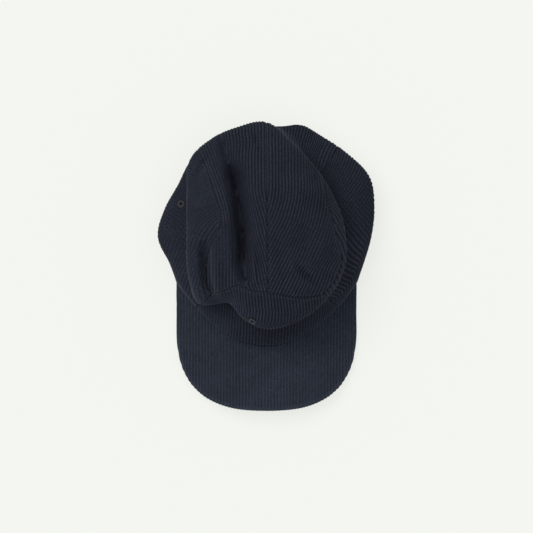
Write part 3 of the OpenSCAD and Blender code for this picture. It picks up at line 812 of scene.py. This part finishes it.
# %% Make the covers
def bill_cover(name, side, seed):
    grid, normal = bill_grid(side)
    x, y = grid[..., 0], grid[..., 1]
    rib, ridge = ribs(x + ARC_STRETCH * x**3, x, y, seed)
    puff = 0.18 * wander(x, y, 55, seed + 5) - 0.12
    soft = 0.6 * (0.85 + 0.15 * wander(x, y, 45, seed + 7))
    outer = grid + normal * (soft * rib - 0.25 + puff)[..., None]
    # softer ribs also get less of the painted groove shade
    ridge = 1 - (1 - ridge) * soft
    inner = (grid - normal * 1.25)[::COARSER, ::COARSER]
    wear = np.zeros(x.shape) + 0.15
    wear[:, -ROLL_ROWS - 1:] = 0.8
    if side > 0:
        outer, inner, ridge, wear = (a[:, ::-1] for a in (outer, inner, ridge, wear))
    points, faces = closed_sheet(outer, inner)
    piece = make_piece(name, points, faces, bill_corduroy_painted_lighter, marks_for(ridge, wear, inner))
    if volume(piece) < 0:
        piece.data.flip_normals()
    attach(piece, "bill")
    print(f"{name}: {len(piece.data.polygons)} faces, {volume(piece) * 1e9:.0f} mm3")
    return piece


bill_top, bill_under = bill_cover("cloth_bill_top", 1, 71), bill_cover("cloth_bill_under", -1, 83)
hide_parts("bill_top_cover", "bill_edge_fold")
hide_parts("bill_under_cover")

# %% [markdown]
# ## Bands and straps
# The sweatband, the label, the strap and its keeper are all one shape: a small rounded outline that is carried along
# a line. So they share one helper that joins outlines into a closed skin, and each piece only says where its
# outlines stand. The edges of the outlines are rounded, because folded cloth has no sharp corner.

# %% A skin over outlines
def skin(outlines, closed=False):
    """Points and faces that join a row of outlines with the same number of points."""
    outlines = np.asarray(outlines, float)
    n, m = outlines.shape[:2]
    ids, faces = np.arange(n * m).reshape(n, m), []
    for i in range(n if closed else n - 1):
        a, b = ids[i], ids[(i + 1) % n]
        faces += [(a[j], b[j], b[(j + 1) % m], a[(j + 1) % m]) for j in range(m)]
    if not closed:
        faces += [tuple(ids[0]), tuple(ids[-1][::-1])]
    return outlines.reshape(-1, 3), faces


def rounded(wide, high, corner, steps=4):
    """A rounded rectangle's outline, centred on its middle."""
    points = []
    for sx, sy, start in ((1, 1, 0), (-1, 1, 90), (-1, -1, 180), (1, -1, 270)):
        for k in range(steps + 1):
            a = math.radians(start + 90 * k / steps)
            points.append((sx * (wide / 2 - corner) + corner * math.cos(a), sy * (high / 2 - corner) + corner * math.sin(a)))
    return np.array(points)


def finish_piece(name, points, faces, material, slot_name, body, *stands_for, marks=None):
    """Makes a closed piece with its material, turns it right side out, ties it to its body and hides the CAD nodes it
    stands for.
    """
    piece = make_piece(name, points, faces, material, marks)
    if volume(piece) < 0:
        piece.data.flip_normals()
    piece.data.set_sharp_from_angle(angle=math.radians(50))
    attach(piece, body)
    if stands_for:
        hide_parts(*stands_for)
    print(f"{name}: {len(piece.data.polygons)} faces, {volume(piece) * 1e9:.0f} mm3")
    return piece


print("outline points of a band:", len(rounded(1.2, 20, 0.5)))

# %% [markdown]
# ## Sweatband and label
# The sweatband stands inside the rim, 24 mm high, and stops at the strap opening. In front it is cut along the
# bill's arch. Its upper edge isn't sewn down, so it waves a little. The size label is a folded satin tab behind it.

# %% Sweatband and size label
def unit(angle):
    return math.cos(math.radians(angle)), math.sin(math.radians(angle))


def band_outline(angle, near, far, low, high, corner=0.45):
    """Outline of a band in the crown's rim at one angle, between two depths and two heights."""
    c, s = unit(angle)
    flat = rounded(far - near, high - low, min(corner, (far - near) / 2 - 0.02))
    r = rim(np.array([float(angle)]))[0, 0] - (near + far) / 2 + flat[:, 0]
    return np.stack([POLE[0] + r * c, POLE[1] + r * s, (low + high) / 2 + flat[:, 1]], -1)


def arch_low(angle):
    """Height of the bill's arch under the band, or of the table behind the bill's ends."""
    r = rim(np.array([float(angle)]))[0, 0] - 5.6
    x, y = r * math.cos(math.radians(angle)), POLE[1] + r * math.sin(math.radians(angle))
    big = (RIM_HALF**2 + BILL_ARCH**2) / (2 * BILL_ARCH)
    return max(0.0, BILL_ARCH - (big - math.sqrt(big**2 - x**2))) if y < 9 else 0.0


outlines = [band_outline(a, 5, 6.2, arch_low(a) + 0.15, 23.6 + 0.35 * math.sin(a / 7) * math.sin(a / 17))
            for a in np.linspace(119, 421, 303)]
finish_piece("cloth_sweatband", *skin(outlines), band_twill, "twill", "crown", "sweatband")
outlines = [band_outline(a, 6.5 + 0.04 * math.sin(a), 7.0, 6, 19, 0.2) for a in np.linspace(124, 137, 27)]
finish_piece("cloth_size_label", *skin(outlines), label_satin, "label", "crown", "size_label")

# %% [markdown]
# ## Tapes
# Inside, every seam of the crown is covered by a flat tape, and the strap opening's edge by a binding. They follow
# the same crown surface as the panels, a little deeper, so they can't cut through the folds.

# %% Tapes and binding
def disc_tape(curve, count, half=0.04):
    """A strip of disc points on both sides of a curve."""
    t = np.linspace(0, 1, count)
    line = along(curve, t)
    run = np.gradient(line, axis=0)
    side = np.stack([-run[:, 1], run[:, 0]], -1) / np.linalg.norm(run, axis=1, keepdims=True)
    return line[:, None] + side[:, None] * np.linspace(-half, half, 9)[None, :, None]


def tape_piece(name, grid, node_name):
    base, normal = crown(grid), crown_normal(grid)
    across = np.linspace(-1, 1, grid.shape[1])
    plump = 0.16 * (1 - np.abs(across) ** 6)
    outer, inner = base - normal * (CLOTH + 0.92 - plump)[..., None], base - normal * (CLOTH + 1.08 + plump)[..., None]
    turned = np.cross(np.gradient(outer, axis=0), np.gradient(outer, axis=1))
    if np.median((turned * normal).sum(-1)) < 0:
        outer, inner = outer[:, ::-1], inner[:, ::-1]
    points, faces = closed_sheet(outer, inner)
    return finish_piece(name, points, faces, tape_twill, "twill", "crown", node_name)


TAPES = {"top": [(231, 0.43), (250, 0.36), (271.5, 0.335), (296, 0.385), (312, 0.475)],
         "left": [(213, 0.43), (190, 0.385), (172, 0.32), (154, 0.305), (140, 0.355), (133, 0.425)],
         "right": [(-38, 0.48), (-22, 0.49), (8, 0.47), (28, 0.475), (38, 0.49)]}
CENTRE_TAPE = [(0, -0.28), (0, 0), (0, 0.25), (0, 0.48)]
curves = {"centre": np.array(CENTRE_TAPE)} | {which: np.array([polar(*p) for p in tape]) for which, tape in TAPES.items()}
for which, curve in curves.items():
    tape_piece("cloth_tape_" + which, disc_tape(curve, 129), "seam_tape_" + which)
turn = np.linspace(90 + ARCH_HALF - 1.5, 90 - ARCH_HALF + 1.5, 81)
hem = 1 - arch_cut(turn)
tape_piece("cloth_arch_binding", polar(turn[:, None], hem[:, None] - np.linspace(0.07, 0, 9)[None, :]), "arch_binding")

# %% [markdown]
# ## Strap, loop and keeper
# A narrow strap of the same cloth crosses the opening at the back, with its ribs running along it. The long half
# passes through the keeper and the buckle, and its tip is rounded. The short half is sewn round one bar of the buckle.

# %% Strap
STRAP_R, STRAP_LOW, STRAP_HIGH, STRAP_THICK, STRAP_MIDDLE, KEEPER_TURN = 64.0, 3.0, 16.0, 1.4, 11.0, 89
STRAP_AT = np.array([0.0, BILL_ENDS_Y + RIM_BACK - STRAP_R])
LONG_OUT, SHORT_OUT = STRAP_R - 2.3, STRAP_R - 0.3


def strap_outline(angle, outer, thick, low, high):
    """Outline of a strap at one angle: ribs on its outside, a plain inside, and how high each point is on a rib."""
    z = np.linspace(low + 0.35, high - 0.35, 41)
    ridge = rib_profile(z - (STRAP_LOW + STRAP_HIGH / 2))
    ends = np.clip(np.minimum(z - low, high - z) / 0.8, 0, 1)
    out_r = outer - 0.42 + 0.4 * ridge * ends
    back = outer - thick
    r = np.concatenate([out_r, [outer - 0.6, back + 0.3], np.full(9, back), [back + 0.3, outer - 0.6]])
    zs = np.concatenate([z, [high, high], np.linspace(high - 0.3, low + 0.3, 9), [low, low]])
    c, s = unit(angle)
    return (np.stack([STRAP_AT[0] + r * c, STRAP_AT[1] + r * s, zs], -1), np.concatenate([ridge, np.full(13, 0.4)]))


def strap_run(start, end, count, outer, thick, low, high, round_tip=0.0):
    shapes, marks = [], []
    for angle in np.linspace(start, end, count):
        gone = angle - start
        share = 1.0 if gone >= round_tip else 0.25 + 0.75 * math.sqrt(max(0, 1 - (1 - gone / round_tip) ** 2))
        mid, half = (low + high) / 2, (high - low) / 2 * share
        shape, mark = strap_outline(angle, outer, thick, mid - half, mid + half)
        shapes.append(shape)
        marks.append(mark)
    points, faces = skin(shapes)
    return points, faces, {"rib": np.concatenate(marks), "wear": np.full(len(points), 0.35)}


points, faces, marks = strap_run(54, 132, 157, LONG_OUT, STRAP_THICK, STRAP_LOW, STRAP_LOW + STRAP_HIGH, 5.0)
finish_piece("cloth_strap_long", points, faces, corduroy, "corduroy", "crown", "strap_long", marks=marks)

# %% Short half with its loop
TURNED = math.radians(66.5 - 90)


def buckle_point(x, y, z):
    """A point of the buckle's own frame: x along the strap, y outward."""
    y = y + STRAP_R - 0.8
    return np.stack([STRAP_AT[0] + x * math.cos(TURNED) - y * math.sin(TURNED),
                     STRAP_AT[1] + x * math.sin(TURNED) + y * math.cos(TURNED), z], -1)


points, faces, marks = strap_run(44, 58.4, 41, SHORT_OUT, STRAP_THICK, STRAP_LOW + 1, STRAP_LOW + STRAP_HIGH - 1)
loop = []
for a in np.linspace(0, 2 * np.pi, 48, endpoint=False):
    flat = rounded(0.66, 13.9, 0.3)
    loop.append(buckle_point(7.6 + (1.35 + flat[:, 0]) * np.cos(a), (1.35 + flat[:, 0]) * np.sin(a),
                             STRAP_MIDDLE + flat[:, 1]))
loop_points, loop_faces = skin(loop, closed=True)
faces = faces + [tuple(i + len(points) for i in f[::-1]) for f in loop_faces]
marks = {key: np.concatenate([v, np.full(len(loop_points), 0.5)]) for key, v in marks.items()}
finish_piece("cloth_strap_short", np.concatenate([points, loop_points]), faces, corduroy, "corduroy", "crown",
             "strap_short", marks=marks)

# %% Keeper
ring = []
path = rounded(3.03, 17.8, 1.2, 8)
for k, (dr, dz) in enumerate(path):
    before, after = path[k - 1], path[(k + 1) % len(path)]
    run = (after - before) / np.linalg.norm(after - before)
    flat = rounded(6.3, 0.9, 0.4)
    r, z = 61.0 + dr + flat[:, 1] * run[1], STRAP_MIDDLE + dz - flat[:, 1] * run[0]
    c, s = unit(KEEPER_TURN)
    ring.append(np.stack([STRAP_AT[0] + r * c - flat[:, 0] * s, STRAP_AT[1] + r * s + flat[:, 0] * c, z], -1))
points, faces = skin(ring, closed=True)
finish_piece("cloth_strap_keeper", points, faces, corduroy, "corduroy", "keeper", "strap_keeper",
             marks={"rib": np.full(len(points), 0.7), "wear": np.full(len(points), 0.4)})

# %% [markdown]
# ## Buckle and board
# These keep the shape they have in the CAD model. The buckle is lacquered brass that has gone dull in patches, and
# the board inside the bill is milky plastic.

# %% Hard parts
FINISHES = {"buckle_frame": brass, "buckle_pin": brass, "buckle_lever": brass, "bill_board": board_plastic}
for name, finish in FINISHES.items():
    bpy.data.objects[name].data.materials.clear()
    bpy.data.objects[name].data.materials.append(finish)
print("brass on the buckle, plastic in the bill")

# %% [markdown]
# ## Stitches
# A topstitch is one short piece of thread, repeated at a fixed pitch along a line that lies beside a seam. That is
# what Geometry Nodes are for: the line is resampled to one point per stitch, a small rounded stitch is set on every
# point along the line, and each is stretched a little, as no machine sews quite evenly.

# %% The stitch tree
def make_tree(name, sockets):
    tree = bpy.data.node_groups.new(name, "GeometryNodeTree")
    tree.interface.new_socket("Geometry", in_out="OUTPUT", socket_type="NodeSocketGeometry")
    tree.interface.new_socket("Geometry", in_out="INPUT", socket_type="NodeSocketGeometry")
    for label, kind, value in sockets:
        socket = tree.interface.new_socket(label, in_out="INPUT", socket_type=kind)
        if value is not None:
            socket.default_value = value
    return tree, tree.nodes.new("NodeGroupInput"), tree.nodes.new("NodeGroupOutput")


def close_tree(tree, gin, gout, geometry):
    """Turns instances into a real mesh, gives it its material and ends the tree."""
    real = node(tree, "GeometryNodeRealizeInstances", {"Geometry": geometry})
    painted = node(tree, "GeometryNodeSetMaterial", {"Geometry": real.outputs[0], "Material": gin.outputs["Material"]})
    tree.links.new(painted.outputs[0], gout.inputs["Geometry"])
    print(tree.name, "has", len(tree.nodes), "nodes")


stitch_row, gin, gout = make_tree("StitchRow", [
    ("Pitch", "NodeSocketFloat", 0.0029), ("Stitch Length", "NodeSocketFloat", 0.0022), ("Thread", "NodeSocketFloat", 0.00042),
    ("Seed", "NodeSocketInt", 3), ("Material", "NodeSocketMaterial", None)])
path = node(stitch_row, "GeometryNodeMeshToCurve", {"Mesh": gin.outputs["Geometry"]})
spaced = node(stitch_row, "GeometryNodeResampleCurve", {"Curve": path.outputs[0], "Length": gin.outputs["Pitch"]},
              mode="LENGTH")
stitch = node(stitch_row, "GeometryNodeMeshUVSphere", {"Segments": 8, "Rings": 5, "Radius": 0.5})
size = node(stitch_row, "ShaderNodeCombineXYZ", {"X": gin.outputs["Stitch Length"], "Y": gin.outputs["Thread"],
                                                 "Z": gin.outputs["Thread"]})
shaped = node(stitch_row, "GeometryNodeTransform", {"Geometry": stitch.outputs[0], "Scale": size.outputs[0]})
tangent = node(stitch_row, "GeometryNodeInputTangent")
up = node(stitch_row, "GeometryNodeInputNamedAttribute", {"Name": "up"}, data_type="FLOAT_VECTOR")
ahead = node(stitch_row, "FunctionNodeAlignRotationToVector", {"Vector": tangent.outputs[0]}, axis="X")
flat = node(stitch_row, "FunctionNodeAlignRotationToVector", {"Rotation": ahead.outputs[0], "Vector": up.outputs[0]},
            axis="Z", pivot_axis="X")
uneven = node(stitch_row, "FunctionNodeRandomValue", {"Min": (0.88, 0.9, 0.9), "Max": (1.06, 1.1, 1.1),
              "Seed": gin.outputs["Seed"]}, data_type="FLOAT_VECTOR")
sewn = node(stitch_row, "GeometryNodeInstanceOnPoints", {"Points": spaced.outputs[0], "Instance": shaped.outputs[0],
            "Rotation": flat.outputs[0], "Scale": uneven.outputs[0]})
close_tree(stitch_row, gin, gout, sewn.outputs[0])


# %% Use a tree
ROW_ENDS_ABOVE = 1.6  # a row of stitches ends this high over the table, in mm


def grow(name, tree, vertices, edges, values, up=None):
    """Runs a tree on a small mesh of points in mm, and keeps the result as a plain mesh."""
    mesh = bpy.data.meshes.new(name)
    mesh.from_pydata((np.asarray(vertices, float) * MM).tolist(), edges, [])
    if up is not None:
        mesh.attributes.new("up", "FLOAT_VECTOR", "POINT").data.foreach_set("vector", np.asarray(up, np.float32).ravel())
    piece = bpy.data.objects.new(name, mesh)
    bpy.context.scene.collection.objects.link(piece)
    run = piece.modifiers.new("grow", "NODES")
    run.node_group = tree
    for item in tree.interface.items_tree:
        if item.in_out == "INPUT" and item.name in values:
            run[item.identifier] = values[item.name]
    grown = bpy.data.meshes.new_from_object(piece.evaluated_get(bpy.context.evaluated_depsgraph_get()))
    piece.modifiers.clear()
    piece.data = grown
    grown.name = name
    bpy.data.meshes.remove(mesh)
    grown.shade_smooth()
    return piece


def row_beside(panel, side, gap=2.8, lift=0.12):
    """Points and normals of a line on a panel at a distance from one of its seams."""
    _, base, normal = made_panels[panel]
    axis, end = {"start": (0, 0), "finish": (0, 1), "top": (1, 1), "bottom": (1, 0)}[side]
    base, normal = (np.moveaxis(a, axis, 0) for a in (base, normal))
    if end:
        base, normal = base[::-1], normal[::-1]
    far = run_along(base, 0)
    line, ups = [], []
    for j in range(0, base.shape[1], 2):
        k = int(np.searchsorted(far[:, j], gap))
        share = (gap - far[k - 1, j]) / (far[k, j] - far[k - 1, j])
        line.append(lerp(base[k - 1, j], base[k, j], share) + lift * normal[k, j])
        ups.append(normal[k, j])
    line, ups = np.array(line), np.array(ups)
    clear = line[:, 2] > ROW_ENDS_ABOVE
    return line[clear], ups[clear]


def stitches(name, line, ups, pitch=2.9, length=2.1, thick=0.38, seed=3, body="crown"):
    edges = [(i, i + 1) for i in range(len(line) - 1)]
    piece = grow(name, stitch_row, line, edges, {"Pitch": pitch * MM, "Stitch Length": length * MM, "Thread": thick * MM,
                                                 "Seed": seed, "Material": thread}, ups)
    if body == "hem":
        with_bill(piece)
    else:
        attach(piece, body)
    print(f"{name}: {len(piece.data.polygons)} faces")
    return piece


print("ready to sew")

# %% Sew the crown's seams
ROWS = [("back_panel_left", "finish", "crown"), ("back_panel_right", "start", "crown"), ("back_panel_left", "start", "crown"),
        ("back_panel_right", "finish", "crown"), ("front_panel", "top", "hem"), ("side_panel_left", "top", "hem"),
        ("side_panel_right", "top", "hem"), ("back_panel_left", "bottom", "crown"), ("back_panel_right", "bottom", "crown"),
        ("front_panel", "start", "hem"), ("front_panel", "finish", "hem"), ("side_panel_left", "finish", "hem"),
        ("side_panel_right", "start", "hem")]
for k, (panel, side, body) in enumerate(ROWS):
    stitches(f"stitches_{panel}_{side}", *row_beside(panel, side), seed=k, body=body)

# %% Sew the sweatband
turn = np.linspace(121, 419, 300)
line = []
for a in turn:
    c, s = unit(a)
    r = rim(np.array([float(a)]))[0, 0] - 6.28
    line.append([POLE[0] + r * c, POLE[1] + r * s, arch_low(a) + 2.6])
ups = [[-unit(a)[0], -unit(a)[1], 0] for a in turn]
stitches("stitches_sweatband", np.array(line), np.array(ups), 3.4, 2.6, 0.4, 40)

# %% [markdown]
# ## Eyelets
# A stitched eyelet is a ring of thread laid in close radial loops around a small hole. The tree sets one rounded
# loop for each thread around a circle, and a soft ring of cord under them fills the gaps, as it does in a real one.

# %% The eyelet tree
eyelet_threads, gin, gout = make_tree("EyeletThreads", [
    ("Threads", "NodeSocketInt", 26), ("Ring", "NodeSocketFloat", 0.0024), ("Loop Length", "NodeSocketFloat", 0.0025),
    ("Thread", "NodeSocketFloat", 0.0006), ("Seed", "NodeSocketInt", 5), ("Material", "NodeSocketMaterial", None)])
circle = node(eyelet_threads, "GeometryNodeMeshCircle", {"Vertices": gin.outputs["Threads"], "Radius": gin.outputs["Ring"]})
loop = node(eyelet_threads, "GeometryNodeMeshUVSphere", {"Segments": 8, "Rings": 6, "Radius": 0.5})
size = node(eyelet_threads, "ShaderNodeCombineXYZ", {"X": gin.outputs["Loop Length"], "Y": gin.outputs["Thread"],
                                                     "Z": 0.0013})
shaped = node(eyelet_threads, "GeometryNodeTransform", {"Geometry": loop.outputs[0], "Scale": size.outputs[0]})
position = node(eyelet_threads, "GeometryNodeInputPosition")
outward = node(eyelet_threads, "FunctionNodeAlignRotationToVector", {"Vector": position.outputs[0]}, axis="X", pivot_axis="Z")
uneven = node(eyelet_threads, "FunctionNodeRandomValue", {"Min": (0.92, 0.9, 0.85), "Max": (1.08, 1.15, 1.1),
              "Seed": gin.outputs["Seed"]}, data_type="FLOAT_VECTOR")
loops = node(eyelet_threads, "GeometryNodeInstanceOnPoints", {"Points": circle.outputs[0], "Instance": shaped.outputs[0],
             "Rotation": outward.outputs[0], "Scale": uneven.outputs[0]})
ring_line = node(eyelet_threads, "GeometryNodeCurvePrimitiveCircle", {"Resolution": 32, "Radius": gin.outputs["Ring"]})
cord_round = node(eyelet_threads, "GeometryNodeCurvePrimitiveCircle", {"Resolution": 10, "Radius": 0.00055})
ring_body = node(eyelet_threads, "GeometryNodeCurveToMesh", {"Curve": ring_line.outputs[0],
                                                             "Profile Curve": cord_round.outputs[0]})
both = node(eyelet_threads, "GeometryNodeJoinGeometry")
eyelet_threads.links.new(loops.outputs[0], both.inputs[0])
eyelet_threads.links.new(ring_body.outputs[0], both.inputs[0])
close_tree(eyelet_threads, gin, gout, both.outputs[0])

# %% Work the four eyelets
for k, (name, (middle, outward)) in enumerate(EYELET_AT.items()):
    piece = grow("thread_" + name, eyelet_threads, [(0, 0, 0)], [], {"Threads": 30, "Ring": 2.75 * MM, "Loop Length": 2.5 * MM,
                 "Thread": 0.62 * MM, "Seed": 50 + k, "Material": eyelet_thread})
    turned = Vector(outward).to_track_quat("Z", "Y").to_matrix().to_4x4()
    piece.data.transform(Matrix.Translation(Vector((middle + 0.28 * outward) * MM)) @ turned)
    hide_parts(name)
    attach(piece, "crown")
    print(f"{piece.name}: {len(piece.data.polygons)} faces")

# %% [markdown]
# ## Camera, light and floor
# The cap is seen from straight above through a long lens, three metres up, so nothing leans. The light is soft and
# comes from everywhere, with a wide sun from the back left that gives the folds their one dark side. The floor is
# pale and gives off most of its own light, so it stays even and takes only a faint shadow.

# %% Camera and light
lens = bpy.data.cameras.new("camera")
SENSOR, FAR, FIELD = 36, 3.0, 0.533  # mm, then metres: the lens sees FIELD across at the distance FAR
lens.sensor_width, lens.lens, lens.clip_end = SENSOR, SENSOR * FAR / FIELD, 50
camera = bpy.data.objects.new("camera", lens)
camera.location = (0, 0, 3.02)
bpy.context.scene.collection.objects.link(camera)
bpy.context.scene.camera = camera
lamp = bpy.data.lights.new("window", "SUN")
lamp.energy, lamp.angle, lamp.color = 1.45, math.radians(38), (1.0, 0.985, 0.96)
window = bpy.data.objects.new("window", lamp)
window.rotation_euler = Vector((0.62, -0.55, -1.0)).to_track_quat("-Z", "Y").to_euler()
bpy.context.scene.collection.objects.link(window)
world = bpy.data.worlds.new("studio")
world.use_nodes = True
world.node_tree.nodes["Background"].inputs[0].default_value = (0.93, 0.96, 1.0, 1)
world.node_tree.nodes["Background"].inputs[1].default_value = 0.74
bpy.context.scene.world = world
bpy.context.scene.view_settings.view_transform = "Standard"
print("camera and light set")

# %% Floor
mesh = bpy.data.meshes.new("floor")
mesh.from_pydata([(-3, -3, 0), (3, -3, 0), (3, 3, 0), (-3, 3, 0)], [], [(0, 1, 2, 3)])
floor = bpy.data.objects.new("floor", mesh)
bpy.context.scene.collection.objects.link(floor)
floor_paint, _, shader = new_material("floor_paint", 0.95)
shader.inputs["Base Color"].default_value = (0.16, 0.16, 0.155, 1)
shader.inputs["Specular IOR Level"].default_value = 0
shader.inputs["Emission Color"].default_value = (0.74, 0.75, 0.71, 1)
shader.inputs["Emission Strength"].default_value = 1.0
floor.data.materials.append(floor_paint)
print("floor laid")
